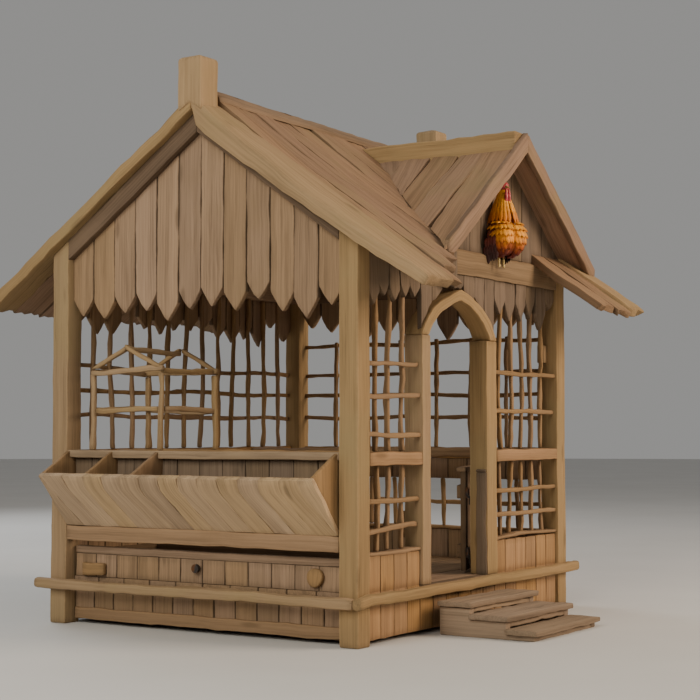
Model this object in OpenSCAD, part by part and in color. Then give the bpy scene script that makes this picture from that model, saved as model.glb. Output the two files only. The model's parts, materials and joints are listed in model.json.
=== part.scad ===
// Gabled timber chicken coop with a dormer over its door, a feed trough on one
// gable and a pull-out litter tray under the trough.
// Millimetres, +Z up. The origin is on the ground under the middle of the floor.
// Front (-Y) is the door side. Left (-X) is the gable with the trough.

/* [Plan] */
// Length over the corner posts, along the ridge
plan_x = 1880; // [1800:10:1960]
// Width over the corner posts, across the ridge
plan_y = 1600; // [1540:10:1640]
// Side of a square corner post
post_w = 90; // [80:1:100]

/* [Heights] */
// Top of the floor, the threshold and the ledge rails
floor_top = 205; // [195:1:225]
// Top of the low board panel under each window
dado_top = 345; // [330:1:380]
// Top of the mid rails and of the perches
rail_top = 755; // [735:1:785]
// Underside of the wall plates
plate_bottom = 1515; // [1500:1:1560]

/* [Roof] */
// Pitch of the main roof in degrees
roof_pitch = 35; // [33:0.5:37]
// Level distance from the ridge to the eave
eave_run = 1130; // [1080:5:1180]
// How far the roof passes the left gable posts
verge_left = 40; // [30:1:60]
// How far the roof passes the right gable posts
verge_right = 110; // [100:1:130]
// Thickness of a roof plank
plank_t = 34; // [28:1:40]
// Thickness of the heavy plank along each verge
verge_t = 50; // [42:1:56]

/* [Dormer] */
// Middle of the dormer, from the middle of the coop
dormer_x = 310; // [300:1:320]
// Level distance from the dormer ridge to its eave
dormer_run = 725; // [690:5:735]
// Pitch of the dormer roof in degrees
dormer_pitch = 37.5; // [36.5:0.5:38.5]
// How far the dormer roof passes the front wall
dormer_reach = 120; // [100:1:140]

/* [Door] */
// Left side of the door opening
door_left = -372; // [-390:1:-360]
// Right side of the door opening
door_right = 128; // [118:1:140]
// Top of the arch opening
arch_top = 1400; // [1385:1:1405]
// Height of the half door over the floor
leaf_h = 440; // [400:5:450]
// Angle at which the door stands open
door_open = 160; // [150:1:162]

/* [Trough] */
// How far the trough's lip stands out from the gable posts
trough_reach = 178; // [160:1:200]
// Height of the trough's lip
trough_lip = 646; // [620:1:660]
// Depth of the litter tray, front to back
tray_depth = 525; // [450:5:530]

/* [Hidden] */

half_x = plan_x / 2;
half_y = plan_y / 2;
span_x = half_x - post_w;          // inner faces of the posts, along X
span_y = half_y - post_w;          // inner faces of the posts, along Y

rail_h = 55;
rail_d = 45;
board_in = 15;                     // how far wall boards sit behind the post faces
board_t = 20;
floor_in = board_in + board_t;     // outer edge of the floor and the sills
stick = 20;
seam = 0.5;                        // gap that keeps the pieces of one group apart
rail_bottom = rail_top - rail_h;
ground_gap = 20;
sill_top = 90;
sill_d = 45;
floor_t = 22;

plate_face = 100;                  // outer face height of a wall plate
plate_top = plate_bottom + plate_face;
plate_in = 34;                     // how far the front plate sits back left of the door
roof_slope = tan(roof_pitch);
function roof_under(y) = plate_top + (half_y - abs(y)) * roof_slope;
function roof_over(y, t) = roof_under(y) + t / cos(roof_pitch);
function roof_rest(y) = roof_under(y) - seam;  // tops of the timbers under the planks
roof_left = -half_x - verge_left;
roof_right = half_x + verge_right;
verge_w = 150;

ridge_half = 25;
rafter_drop = 90;                  // plumb depth of a gable rafter
rafter_t = 36;
gable_board_t = 24;
gable_in = rafter_t;               // front of the gable boards behind the post faces

dormer_slope = tan(dormer_pitch);
dormer_apex = 2125;                // where the undersides of the dormer planks would meet
function dormer_under(u) = dormer_apex - u * dormer_slope;
dormer_plank_t = 30;
dormer_ridge_half = 45;
dormer_ridge_top = 2185;
dormer_front = -half_y - dormer_reach;
barge_t = 30;
dormer_wall_left = -300;           // where the roof planks stop beside the dormer wall
eave_cut = 0.6;                    // how much the front eave draws back, per length towards the dormer
dormer_wall_right = 610;
seat_in = 15;                      // face of the dormer boards behind the plate's face
seat_t = 25;
seat_z = roof_rest(half_y - seat_in);

jamb_d = 90;
jamb_left_w = 68;
jamb_right_w = 94;
frame_left = door_left - jamb_left_w;
frame_right = door_right + jamb_right_w;
arch_t = 49;
arch_x = (frame_left + frame_right) / 2;
arch_half = (frame_right - frame_left) / 2;
arch_r_out = 365;
arch_r_in = 305;
spring_z = arch_top + arch_t - arch_r_out + sqrt(pow(arch_r_out, 2) - pow(arch_half, 2));

pin_x = door_right + 6;
pin_y = -half_y + jamb_d + 15;
pin_r = 5;
pin_gap = 0.05;
leaf_edge = 11;                    // pin axis to the leaf's hinge edge
leaf_w = pin_x - door_left - leaf_edge - 5;
leaf_bottom = floor_top + 10;
leaf_top = leaf_bottom + leaf_h;
leaf_face = -9;                    // inner face of the closed leaf, from the pin axis
leaf_t = 24;
strap_z = [leaf_bottom + 85, leaf_top - 90];
strap_h = 28;
eye_r = 9;

button_x = door_left - 28;
button_z = 450;
button_half = 55;
button_w = 26;
button_t = 15;
spacer_t = 10;                     // holds the button clear of the jamb
screw_r = 4;
free_gap = 0.3;                    // space that a turning or sliding piece keeps

beam_bottom = 365;
beam_top = 430;
beam_d = 55;
trough_t = 20;
trough_back_t = 20;
trough_rail_h = 33;

tray_face = -half_x + beam_d;
tray_z = floor_top + 1;
tray_top = 338;
tray_half = span_y - 10;

perch_x = [-547.5, 500];
perch_w = 45;

cage_x = -925;
cage_y = 190;
cage_l = 390;
cage_w = 400;
cage_stick = 22;
cage_floor = 915;
cage_eave = 1105;
cage_ridge = 1205;

ledge_w = 45;
ledge_right = 1010;
ledge_back = 860;
step_front = -half_y - ledge_w;
step_left = -385;
step_right = 205;
tread_t = 24;
stringer_t = 40;
tread_tops = [140, 95, 45];
tread_fronts = [step_front - 140, step_front - 305, step_front - 430];

wood = "#a98a62";
pale_wood = "#b79a6c";
door_side = "#b68b5a";
dark_wood = "#6f543a";
roof_wood = "#9c8064";
iron = "#3a3430";

// ---- helpers ----

module box(low, high) {
    translate(low)
        cube([high[0] - low[0], high[1] - low[1], high[2] - low[2]]);
}

// A Y-Z outline carried along X
module along_x(x_from, x_to) {
    translate([x_from, 0, 0])
        rotate([90, 0, 90])
            linear_extrude(x_to - x_from)
                children();
}

// An X-Z outline carried along Y
module along_y(y_from, y_to) {
    translate([0, y_to, 0])
        rotate([90, 0, 0])
            linear_extrude(y_to - y_from)
                children();
}

// Puts a wall that is drawn with its outer face on y = 0 onto one side:
// 0 front, 1 right, 2 back, 3 left
module on_wall(side) {
    rotate([0, 0, 90 * side])
        translate([0, side % 2 == 0 ? -half_y : -half_x, 0])
            children();
}

// A run of upright boards between two places, with a small gap between boards
module upright_boards(from, to, count, low, high, depth, thick) {
    pitch = (to - from) / count;
    for (i = [0 : count - 1])
        box([from + i * pitch, depth, low], [from + (i + 1) * pitch - 2, depth + thick, high]);
}

// A run of upright boards with pointed lower ends
module pointed_boards(from, to, count, tip, high, depth, thick) {
    pitch = (to - from) / count;
    for (i = [0 : count - 1]) {
        x = from + i * pitch;
        end = tip + 18 * sin(i * 141);
        along_y(depth, depth + thick)
            polygon([[x, high], [x, end + 50], [x + pitch / 2, end],
                     [x + pitch - 2, end + 50], [x + pitch - 2, high]]);
    }
}

// Lattice: level sticks in front, upright sticks behind them
module lattice(from, to, low, high, uprights, levels) {
    pitch = (to - from) / (uprights + 1);
    for (i = [1 : uprights])
        box([from + i * pitch - stick / 2, 34 + seam, low + seam],
            [from + i * pitch + stick / 2, 34 + seam + stick, high]);
    for (z = levels)
        box([from, 34 - stick, z - stick / 2], [to, 34, z + stick / 2]);
}

// One roof plank: plumb cut at the ridge, square cut at the eave
module roof_plank(side, x_from, x_to, run_from, run_to, t) {
    along_x(x_from, x_to)
        polygon([
            [side * run_from, roof_under(run_from)],
            [side * run_to, roof_under(run_to)],
            [side * (run_to + t * sin(roof_pitch)), roof_under(run_to) + t * cos(roof_pitch)],
            [side * run_from, roof_over(run_from, t)],
        ]);
}

module roof_plank_run(side, x_from, x_to, count, run_to, ragged) {
    pitch = (x_to - x_from) / count;
    for (i = [0 : count - 1])
        roof_plank(side, x_from + i * pitch, x_from + (i + 1) * pitch - 2, 0,
                   run_to + ragged * sin(i * 97), plank_t);
}

// Everything under the upper face of the main roof's front slope, and a seam more
module main_roof_body() {
    run = eave_run + 100;
    for (part = [[roof_left, roof_right - verge_w - seam, plank_t],
                 [roof_right - verge_w - seam, roof_right + 10, verge_t]])
        along_x(part[0], part[1])
            polygon([[0, roof_over(0, part[2]) + seam], [-run, roof_over(run, part[2]) + seam],
                     [-run, 800], [0, 800]]);
}

// ---- posts, base and floor ----

// A post that rises to the roof planks, its top cut to their slope
module corner_post(side_x, side_y) {
    outer = side_x * half_x;
    inner = side_x * span_x;
    color(pale_wood)
        along_x(min(outer, inner), max(outer, inner))
            polygon([[side_y * half_y, 0], [side_y * half_y, roof_rest(half_y)],
                     [side_y * span_y, roof_rest(span_y)], [side_y * span_y, 0]]);
}
module post_front_left() { corner_post(-1, -1); }
module post_front_right() { corner_post(1, -1); }
module post_back_left() { corner_post(-1, 1); }
module post_back_right() { corner_post(1, 1); }

module centre_skid() {
    color(dark_wood)
        box([-800, -45, 0], [800, 45, sill_top]);
}

plinth_left_in = 65;               // the left plinth sits deeper than the others

module sills() {
    color(wood) {
        for (side = [0, 2])
            on_wall(side)
                box([-span_x, floor_in, ground_gap], [span_x, floor_in + sill_d, sill_top]);
        on_wall(1)
            box([-span_y, floor_in, ground_gap], [span_y, floor_in + sill_d, sill_top]);
        on_wall(3)
            box([-span_y, plinth_left_in + board_t, ground_gap],
                [span_y, plinth_left_in + board_t + sill_d, sill_top]);
    }
}

module floor_joists() {
    joist_w = 45;
    joist_y = half_y - floor_in;
    color(dark_wood)
        for (x = [-600, 0, 600])
            box([x - joist_w / 2, -joist_y, sill_top], [x + joist_w / 2, joist_y, floor_top - floor_t]);
}

module floor_boards() {
    count = 10;
    pitch = 2 * span_y / count;
    edge_y = half_y - floor_in;
    low = floor_top - floor_t;
    color(wood) {
        for (i = [0 : count - 1])
            box([-half_x + beam_d, -span_y + i * pitch, low],
                [half_x - floor_in, -span_y + (i + 1) * pitch - 2, floor_top]);
        for (side = [-1, 1])
            box([-span_x, side > 0 ? span_y + seam : -edge_y, low],
                [span_x, side > 0 ? edge_y : -span_y - seam, floor_top]);
        // threshold under the door
        box([frame_left, -half_y, floor_top - ledge_w], [frame_right, -edge_y - seam, floor_top]);
    }
}

module ledge_rails() {
    low = floor_top - ledge_w;
    color(pale_wood) {
        box([-half_x - ledge_w, -half_y - ledge_w, low], [ledge_right, -half_y, floor_top]);
        box([-half_x - ledge_w, -half_y + seam, low], [-half_x, ledge_back, floor_top]);
    }
}

module plinth_boards_front() {
    color(door_side)
        on_wall(0) {
            upright_boards(-span_x, frame_left, 4, ground_gap, floor_top, board_in, board_t);
            upright_boards(frame_left, frame_right, 6, ground_gap, floor_top - ledge_w, board_in, board_t);
            upright_boards(frame_right, span_x, 6, ground_gap, floor_top, board_in, board_t);
        }
}

module plinth_boards_left() {
    color(wood)
        on_wall(3)
            upright_boards(-span_y, span_y, 13, ground_gap, floor_top - floor_t, plinth_left_in, board_t);
}

module plinth_boards_rear() {
    color(wood) {
        on_wall(1)
            upright_boards(-span_y, span_y, 13, ground_gap, floor_top, board_in, board_t);
        on_wall(2)
            upright_boards(-span_x, span_x, 15, ground_gap, floor_top, board_in, board_t);
    }
}

// ---- walls ----

module dado_boards_front() {
    color(door_side)
        on_wall(0) {
            upright_boards(-span_x, frame_left, 4, floor_top, dado_top, board_in, board_t);
            upright_boards(frame_right, span_x, 6, floor_top, dado_top, board_in, board_t);
        }
}

band_low = 600;                    // lower edge of the board band under the right gable's rail

module dado_boards_rear() {
    color(wood) {
        on_wall(2)
            upright_boards(-span_x, span_x, 15, floor_top, rail_bottom, board_in, board_t);
        on_wall(1) {
            upright_boards(-span_y, span_y, 13, floor_top, dado_top, board_in, board_t);
            upright_boards(-span_y, span_y, 13, band_low, rail_bottom, board_in, board_t);
        }
    }
}

module window_rails() {
    color(door_side) {
        on_wall(0) {
            box([-span_x, 0, rail_bottom], [frame_left, rail_d, rail_top]);
            box([frame_right, 0, rail_bottom], [span_x, rail_d, rail_top]);
        }
        on_wall(1)
            box([-span_y, 0, rail_bottom], [span_y, rail_d, rail_top]);
        on_wall(2)
            box([-span_x, 0, rail_bottom], [span_x, rail_d, rail_top]);
    }
}

cap_h = 15;

// The cap board over the low panel, with the lattice that stands on it
module low_window(from, to, high, uprights, levels) {
    box([from, 8, dado_top], [to, 58, dado_top + cap_h]);
    lattice(from, to, dado_top + cap_h, high, uprights, levels);
}

module lattice_front_left() {
    color(wood)
        on_wall(0) {
            low_window(-span_x, frame_left, rail_bottom, 3, [450, 560]);
            lattice(-span_x, frame_left, rail_top, plate_bottom, 3, [825, 980, 1110]);
        }
}

module lattice_front_right() {
    color(wood)
        on_wall(0) {
            low_window(frame_right, span_x, rail_bottom, 5, [460, 570]);
            lattice(frame_right, span_x, rail_top, plate_bottom, 5, [925, 1100]);
        }
}

rear_levels = [905, 1020, 1130];
lattice_right_top = 1305;          // just under the points of the right gable's boards

module lattice_back() {
    color(dark_wood)
        on_wall(2)
            lattice(-span_x, span_x, rail_top, plate_bottom, 12, rear_levels);
}

module lattice_right() {
    color(dark_wood)
        on_wall(1) {
            low_window(-span_y, span_y, band_low, 9, [480]);
            lattice(-span_y, span_y, rail_top, lattice_right_top, 6,
                    concat(rear_levels, [lattice_right_top - stick]));
        }
}

// The outline that the door frame fills, which the boards beside it stop at
module door_envelope() {
    along_y(-half_y - 10, -half_y + jamb_d + seam) {
        translate([arch_x, arch_top + arch_t - arch_r_out])
            circle(r = arch_r_out + seam, $fn = 96);
        translate([frame_left, floor_top])
            square([frame_right - frame_left, spring_z - floor_top]);
    }
}

module valance_front() {
    color(roof_wood)
        difference() {
            on_wall(0) {
                pointed_boards(-span_x, frame_left, 5, 1265, roof_rest(half_y - 10), 10, 22);
                upright_boards(frame_left, frame_right, 7, spring_z, plate_bottom, 10, 22);
                pointed_boards(frame_right, span_x, 6, 1365, plate_bottom, 10, 22);
            }
            door_envelope();
        }
}

module valance_back() {
    color(dark_wood)
        on_wall(2)
            pointed_boards(-span_x, span_x, 15, 1330, plate_bottom, 10, 22);
}

// The outline under the main roof, wider than any board
module under_main_roof() {
    polygon([[-half_y, roof_rest(half_y)], [0, roof_rest(0)], [half_y, roof_rest(half_y)],
             [half_y, 1000], [-half_y, 1000]]);
}

module gable_boards(side) {
    intersection() {
        on_wall(side)
            pointed_boards(-span_y, span_y, 12, 1335, roof_under(0), gable_in, gable_board_t);
        along_x(-half_x, half_x)
            under_main_roof();
    }
}
module gable_boards_left() { color(wood) gable_boards(3); }
module gable_boards_right() { color(wood) gable_boards(1); }

// ---- main roof frame ----

module wall_plate_back() {
    color(wood)
        along_x(-span_x, span_x)
            polygon([[half_y, plate_bottom], [half_y, roof_rest(half_y)],
                     [span_y, roof_rest(span_y)], [span_y, plate_bottom]]);
}

// The front plate has a seat for the dormer's boards, and is thinner left of the
// door, where wall boards cover it
module wall_plate_front() {
    seat_y = -half_y + seat_in;
    color(door_side) {
        along_x(frame_left, span_x)
            polygon([[-half_y, plate_bottom], [-half_y, roof_rest(half_y)], [seat_y, seat_z],
                     [seat_y + seat_t, seat_z], [seat_y + seat_t, roof_rest(seat_y + seat_t)],
                     [-span_y, roof_rest(span_y)], [-span_y, plate_bottom]]);
        along_x(-span_x, frame_left)
            polygon([[-half_y + plate_in, plate_bottom], [-half_y + plate_in, roof_rest(half_y - plate_in)],
                     [-span_y, roof_rest(span_y)], [-span_y, plate_bottom]]);
    }
}

gable_frame_in = gable_in + gable_board_t;

module ridge_beam() {
    beam_x = half_x - gable_frame_in;
    low = roof_under(0) - 125;
    color(dark_wood)
        along_x(-beam_x, beam_x)
            polygon([[-ridge_half, low], [-ridge_half, roof_rest(ridge_half)], [0, roof_rest(0)],
                     [ridge_half, roof_rest(ridge_half)], [ridge_half, low]]);
}

module purlins() {
    purlin_x = half_x - gable_frame_in;
    near = 375;                    // nearer and farther faces, from the ridge
    far = near + 50;
    low = roof_under(near) - 80;
    color(dark_wood)
        for (side = [-1, 1])
            along_x(-purlin_x, purlin_x)
                polygon([[side * near, low], [side * near, roof_rest(near)],
                         [side * far, roof_rest(far)], [side * far, low]]);
}

// Rafters on the outside of the gable boards and a tie beam on their inside
module gable_frames() {
    tie_h = 70;
    color(dark_wood)
        for (end = [-1, 1]) {
            outer = end * half_x;
            inner = end * (half_x - rafter_t);
            for (side = [-1, 1])
                along_x(min(outer, inner), max(outer, inner))
                    polygon([[side * seam, roof_under(seam) - rafter_drop],
                             [side * seam, roof_rest(seam)], [side * span_y, roof_rest(span_y)],
                             [side * span_y, roof_under(span_y) - rafter_drop]]);
            tie_out = end * (half_x - gable_frame_in);
            tie_in = end * (span_x - 15);
            box([min(tie_out, tie_in), -span_y, plate_bottom],
                [max(tie_out, tie_in), span_y, plate_bottom + tie_h]);
        }
}

// ---- main roof covering ----

// Where the square-cut planks behind the dormer's boards stop
seat_run = half_y - seat_in - seat_t - plank_t * sin(roof_pitch) - seam;

module roof_planks_front() {
    left = roof_left + verge_w;
    count = 4;
    pitch = (dormer_wall_left - left) / count;
    color(roof_wood) {
        // these draw back towards the dormer
        for (i = [0 : count - 1])
            roof_plank(-1, left + i * pitch, left + (i + 1) * pitch - 2, 0,
                       eave_run - eave_cut * (i + 0.5) * pitch, plank_t);
        roof_plank_run(-1, dormer_wall_left, dormer_wall_right, 6, seat_run, 0);
        roof_plank_run(-1, dormer_wall_right, roof_right - verge_w, 2, eave_run - 14, 14);
    }
}

module roof_planks_back() {
    color(roof_wood)
        roof_plank_run(1, roof_left + verge_w, roof_right - verge_w, 10, eave_run, 14);
}

module verge_planks() {
    color(pale_wood)
        for (side = [-1, 1]) {
            roof_plank(side, roof_left, roof_left + verge_w - 2, seam, eave_run, verge_t);
            roof_plank(side, roof_right - verge_w, roof_right, seam, eave_run, verge_t);
        }
}

finial_w = 115;
finial_x = [roof_left + finial_w / 2 - 5, roof_right + 45 - finial_w / 2];
finial_top = 2410;

module finials() {
    half = finial_w / 2;
    shoulder = finial_top - 18;
    ridge = roof_over(0, verge_t) + seam;
    side = roof_over(half, verge_t) + seam;
    color(pale_wood)
        for (x = finial_x)
            intersection() {
                along_x(x - half, x + half)
                    polygon([[-half, side], [0, ridge], [half, side], [half, shoulder],
                             [0, finial_top], [-half, shoulder]]);
                along_y(-half, half)
                    polygon([[x - half, 2000], [x + half, 2000], [x + half, shoulder],
                             [x, finial_top], [x - half, shoulder]]);
            }
}

cap_half = 38;

// A ridge cap that sits astride the planks, between the finials
module ridge_cap() {
    left = roof_left + verge_w;
    right = roof_right - verge_w - 2;
    ridge = roof_over(0, plank_t) + seam;
    side = roof_over(cap_half, plank_t) + seam;
    color(roof_wood)
        along_x(left, right)
            polygon([[-cap_half, side], [0, ridge], [cap_half, side],
                     [cap_half, side + 20], [0, ridge + 26], [-cap_half, side + 20]]);
}

// ---- dormer ----

module dormer_ridge_beam() {
    color(pale_wood)
        difference() {
            box([dormer_x - dormer_ridge_half, dormer_front + barge_t, dormer_under(dormer_ridge_half)],
                [dormer_x + dormer_ridge_half, -cap_half - 20, dormer_ridge_top]);
            main_roof_body();
        }
}

module dormer_plank(side, y_from, y_to, run) {
    t = dormer_plank_t;
    along_y(y_from, y_to)
        polygon([
            [dormer_x + side * dormer_ridge_half, dormer_under(dormer_ridge_half)],
            [dormer_x + side * run, dormer_under(run)],
            [dormer_x + side * (run + t * sin(dormer_pitch)), dormer_under(run) + t * cos(dormer_pitch)],
            [dormer_x + side * dormer_ridge_half,
             dormer_under(dormer_ridge_half) + t / cos(dormer_pitch)],
        ]);
}

module dormer_planks() {
    count = 5;
    pitch = 145;
    color(roof_wood)
        difference() {
            for (side = [-1, 1], i = [0 : count - 1])
                dormer_plank(side, dormer_front + barge_t + i * pitch,
                             dormer_front + barge_t + (i + 1) * pitch - 2, dormer_run - 12 * i);
            main_roof_body();
        }
}

module dormer_barge_boards() {
    drop = 27;
    color(pale_wood)
        difference() {
            for (side = [-1, 1])
                along_y(dormer_front, dormer_front + barge_t)
                    polygon([[dormer_x + side * seam, dormer_apex - drop],
                             [dormer_x + side * seam, dormer_ridge_top],
                             [dormer_x + side * dormer_run, dormer_ridge_top - dormer_run * dormer_slope],
                             [dormer_x + side * dormer_run,
                              dormer_apex - drop - dormer_run * dormer_slope]]);
            main_roof_body();
        }
}

// Boards that fill the dormer's gable. Those over the front plate stand on its
// seat, and those beside it stand on the main roof
module dormer_gable_boards() {
    board_w = 105;
    face = -half_y + seat_in;
    top = dormer_under(dormer_ridge_half);
    side_run = 620;
    module wall(from, to, low) {
        count = round((to - from) / board_w);
        intersection() {
            translate([0, face, 0])
                upright_boards(from, to, count, low, top, 0, seat_t);
            along_y(face, face + seat_t)
                polygon([[dormer_x - dormer_run, dormer_under(dormer_run)],
                         [dormer_x - dormer_ridge_half, top], [dormer_x + dormer_ridge_half, top],
                         [dormer_x + dormer_run, dormer_under(dormer_run)],
                         [dormer_x + dormer_run, low - 10], [dormer_x - dormer_run, low - 10]]);
        }
    }
    color(wood) {
        // corner board on the face of the plate
        box([dormer_wall_left + 10, -half_y - seat_t, plate_bottom - 60],
            [dormer_wall_left + 115, -half_y - seam, plate_top - 10]);
        wall(dormer_wall_left, dormer_wall_right, seat_z);
        difference() {
            union() {
                wall(dormer_x - side_run, dormer_wall_left, seat_z);
                wall(dormer_wall_right, dormer_x + side_run, seat_z);
            }
            main_roof_body();
        }
    }
}

rooster_x = 235;
rooster_z = 1700;                  // height of the middle of the breast
breast_r = 85;
leg_r = 5;

// A carved rooster, breast outwards, on the dormer's boards
module rooster_body() {
    face = -half_y + seat_in;
    color("#d98a1e")
        difference() {
            union() {
                hull() {
                    translate([rooster_x, face - 70, rooster_z])
                        sphere(r = breast_r, $fn = 32);
                    translate([rooster_x, face - 55, rooster_z + 205])
                        sphere(r = 30, $fn = 32);
                    translate([rooster_x - 48, face - 10, rooster_z + 10])
                        sphere(r = 75, $fn = 32);
                }
                for (side = [-1, 1])
                    translate([rooster_x + side * 22, face - 45, rooster_z - 130])
                        cylinder(r = leg_r, h = 70, $fn = 24);
            }
            box([rooster_x - 200, face, rooster_z - 300], [rooster_x + 200, face + 200, rooster_z + 400]);
        }
}

module rooster_comb() {
    face = -half_y + seat_in;
    color("#c2453f")
        along_y(face - 63, face - 47)
            polygon([[rooster_x - 24, rooster_z + 236], [rooster_x - 32, rooster_z + 266],
                     [rooster_x - 12, rooster_z + 256], [rooster_x, rooster_z + 282],
                     [rooster_x + 12, rooster_z + 256], [rooster_x + 30, rooster_z + 266],
                     [rooster_x + 24, rooster_z + 236]]);
}

// ---- door ----

module door_jambs() {
    color(pale_wood) {
        box([frame_left, -half_y, floor_top], [door_left, -half_y + jamb_d, spring_z]);
        box([door_right, -half_y, floor_top], [frame_right, -half_y + jamb_d, spring_z]);
        // low stop that the half door closes against, with its cap
        box([door_right - 16, -half_y + 2, floor_top], [door_right - seam, -half_y + 50, leaf_top]);
        box([door_right - 20, -half_y + 2, leaf_top + seam],
            [door_right - seam, -half_y + 50, leaf_top + 13]);
        // block on the front right post
        box([span_x - 36, -half_y + 56, 1165], [span_x, -half_y + 90, 1250]);
    }
}

module door_arch() {
    color(pale_wood)
        along_y(-half_y, -half_y + jamb_d)
            intersection() {
                difference() {
                    translate([arch_x, arch_top + arch_t - arch_r_out])
                        circle(r = arch_r_out, $fn = 96);
                    translate([arch_x, arch_top - arch_r_in])
                        circle(r = arch_r_in, $fn = 96);
                }
                translate([frame_left, spring_z])
                    square([frame_right - frame_left, arch_r_out]);
            }
}

// Draws a piece of the leaf as it is when closed, with the pin axis as its
// origin, and swings it to where it stands open
module leaf_place() {
    translate([pin_x, pin_y, 0])
        rotate([0, 0, -door_open])
            children();
}

module door_boards() {
    count = 4;
    pitch = leaf_w / count;
    color(dark_wood)
        leaf_place()
            for (i = [0 : count - 1])
                box([-leaf_edge - (i + 1) * pitch + 1, leaf_face - leaf_t, leaf_bottom],
                    [-leaf_edge - i * pitch, leaf_face, leaf_top]);
}

module door_ledges() {
    ledge_t = 20;
    color(wood)
        leaf_place() {
            for (z = strap_z)
                box([-leaf_edge - leaf_w + 25, leaf_face - leaf_t - ledge_t, z - 30],
                    [-leaf_edge - 25, leaf_face - leaf_t, z + 30]);
            // cap along the top
            box([-leaf_edge - leaf_w + 1, leaf_face - leaf_t - ledge_t, leaf_top],
                [-leaf_edge, leaf_face, leaf_top + 20]);
        }
}

module door_straps() {
    strap_t = 4;
    color(iron)
        leaf_place()
            for (z = strap_z)
                difference() {
                    union() {
                        box([-leaf_edge - 260, leaf_face, z - strap_h / 2],
                            [0, leaf_face + strap_t, z + strap_h / 2]);
                        translate([0, 0, z - strap_h / 2])
                            cylinder(r = eye_r, h = strap_h, $fn = 48);
                    }
                    translate([0, 0, z - strap_h])
                        cylinder(r = pin_r + pin_gap, h = 2 * strap_h, $fn = 48);
                }
}

module door_pintles() {
    plate_t = 5;
    block_h = 12;
    color(iron)
        for (z = strap_z) {
            low = z - strap_h / 2 - 1;
            translate([pin_x, pin_y, low - block_h])
                cylinder(r = pin_r, h = block_h + strap_h + 8, $fn = 48);
            difference() {
                union() {
                    box([pin_x - 5, -half_y + jamb_d, low - block_h], [pin_x + 5, pin_y + 5, low]);
                    box([door_right, -half_y + jamb_d, low - 40],
                        [frame_right - 30, -half_y + jamb_d + plate_t, low]);
                }
                translate([pin_x, pin_y, low - 2 * block_h])
                    cylinder(r = pin_r, h = 4 * block_h, $fn = 48);
            }
        }
}

module door_button() {
    near = -half_y + jamb_d + spacer_t + free_gap;
    color(wood)
        difference() {
            box([button_x - button_w / 2, near, button_z - button_half],
                [button_x + button_w / 2, near + button_t, button_z + button_half]);
            translate([button_x, near - 5, button_z])
                rotate([-90, 0, 0])
                    cylinder(r = screw_r + pin_gap, h = button_t + 10, $fn = 48);
        }
}

// Spacer, shank and head that the turn button swings on
module door_button_screw() {
    back = -half_y + jamb_d;
    under_head = spacer_t + button_t + 2 * free_gap;
    color(iron)
        translate([button_x, back, button_z])
            rotate([-90, 0, 0]) {
                cylinder(r = 12, h = spacer_t, $fn = 48);
                cylinder(r = screw_r, h = under_head + 0.4, $fn = 48);
                translate([0, 0, under_head])
                    cylinder(r = 9, h = 4, $fn = 48);
            }
}

// ---- trough and feeder ----

module trough_rail() {
    color(pale_wood)
        box([-half_x, -span_y, rail_top - trough_rail_h], [-half_x + beam_d, span_y, rail_top]);
}

module trough_beam() {
    color(door_side)
        box([-half_x, -span_y, beam_bottom], [-half_x + beam_d, span_y, beam_top]);
}

trough_angle = atan2(trough_lip - beam_top, trough_reach);
trough_lip_x = -half_x - trough_reach;
trough_foot_in = trough_t / sin(trough_angle);
trough_half = span_y - 4;

// The sloping front, of slanted boards
module trough_front() {
    count = 14;
    pitch = 2 * trough_half / count;
    slant = 110;
    high = trough_lip + 20;
    color(pale_wood)
        for (i = [-1 : count - 1])
            intersection() {
                along_y(-trough_half, trough_half)
                    polygon([[-half_x, beam_top], [trough_lip_x, trough_lip],
                             [trough_lip_x + trough_t * sin(trough_angle),
                              trough_lip + trough_t * cos(trough_angle)],
                             [-half_x + trough_foot_in, beam_top]]);
                along_x(trough_lip_x - 10, -half_x + beam_d)
                    polygon([[-trough_half + i * pitch + slant, high],
                             [-trough_half + (i + 1) * pitch + slant - 1, high],
                             [-trough_half + (i + 1) * pitch - 1, beam_top],
                             [-trough_half + i * pitch, beam_top]]);
            }
}

module trough_end_shape() {
    rail_low = rail_top - trough_rail_h;
    back = -half_x + beam_d - trough_back_t;
    polygon([[-half_x + trough_foot_in, beam_top],
             [trough_lip_x + trough_t * sin(trough_angle), trough_lip + trough_t * cos(trough_angle)],
             [-half_x, rail_top - 4], [-half_x, rail_low], [back, rail_low], [back, beam_top]]);
}

// Two end boards and two dividers
module trough_ends() {
    color(wood)
        for (y = [-trough_half, 195, 445, trough_half - 18])
            along_y(y, y + 18)
                trough_end_shape();
}

module trough_back() {
    color(dark_wood)
        on_wall(3)
            upright_boards(-span_y, span_y, 12, beam_top, rail_top - trough_rail_h,
                           beam_d - trough_back_t, trough_back_t);
}

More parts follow.
